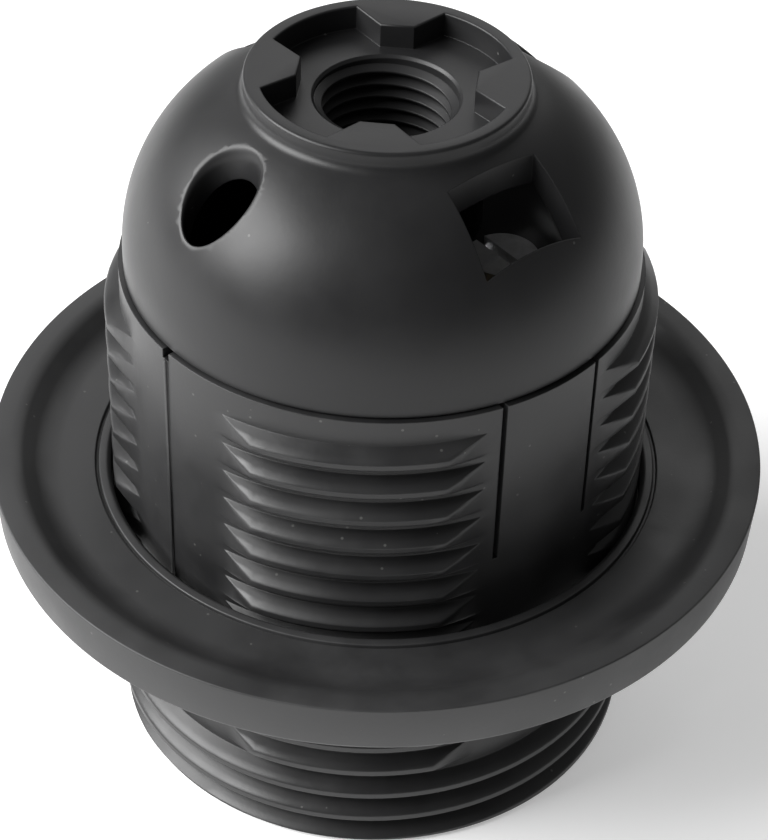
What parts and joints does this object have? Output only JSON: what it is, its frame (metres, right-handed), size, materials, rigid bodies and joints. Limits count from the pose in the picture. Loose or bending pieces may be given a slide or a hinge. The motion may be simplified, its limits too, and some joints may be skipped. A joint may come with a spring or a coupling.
{
  "type": "lampholder",
  "caption": "Domed screw-cap lampholder with a coarse outer thread, a threaded cord entry at the top and a dished shade ring.",
  "frame": {"origin": "centre of the mouth rim, on the surface that the lampholder stands on", "axes": "+Z along the axis from the mouth to the cord entry, -Y through a rectangular window of the cap, -X through a round hole"},
  "size_m": [0.058, 0.058, 0.056],
  "materials": {
    "skirt_plastic": "moulded, fine grain, half matte",
    "cap_plastic": "moulded, half matte",
    "ring_plastic": "moulded, fine grain, half matte",
    "carrier_plastic": "moulded, matte",
    "contact_metal": "rolled strip",
    "rivet_metal": "plain",
    "screw_metal": "zinc plated"
  },
  "bodies": {
    "holder": {"threaded_skirt": "skirt_plastic", "contact_carrier": "carrier_plastic", "centre_contact": "contact_metal", "side_contact": "contact_metal", "contact_rivet_live": "rivet_metal", "contact_rivet_neutral": "rivet_metal"},
    "cap": {"dome_cap": "cap_plastic"},
    "ring": {"shade_ring": "ring_plastic"},
    "screw_live": {"terminal_screw_live": "screw_metal", "clamp_washer_live": "screw_metal"},
    "screw_neutral": {"terminal_screw_neutral": "screw_metal", "clamp_washer_neutral": "screw_metal"}
  },
  "joints": [
    {"name": "cap_lift", "type": "slide", "parent": "holder", "child": "cap", "axis": [0, 0, 1], "range_m": [0, 0.025]},
    {"name": "ring_travel", "type": "slide", "parent": "holder", "child": "ring", "axis": [0, 0, 1], "range_m": [-0.015, 0.0125]},
    {"name": "screw_live_travel", "type": "slide", "parent": "holder", "child": "screw_live", "axis": [0, 0, 1], "range_m": [0, 0.003]},
    {"name": "screw_neutral_travel", "type": "slide", "parent": "holder", "child": "screw_neutral", "axis": [0, 0, 1], "range_m": [0, 0.003]}
  ]
}
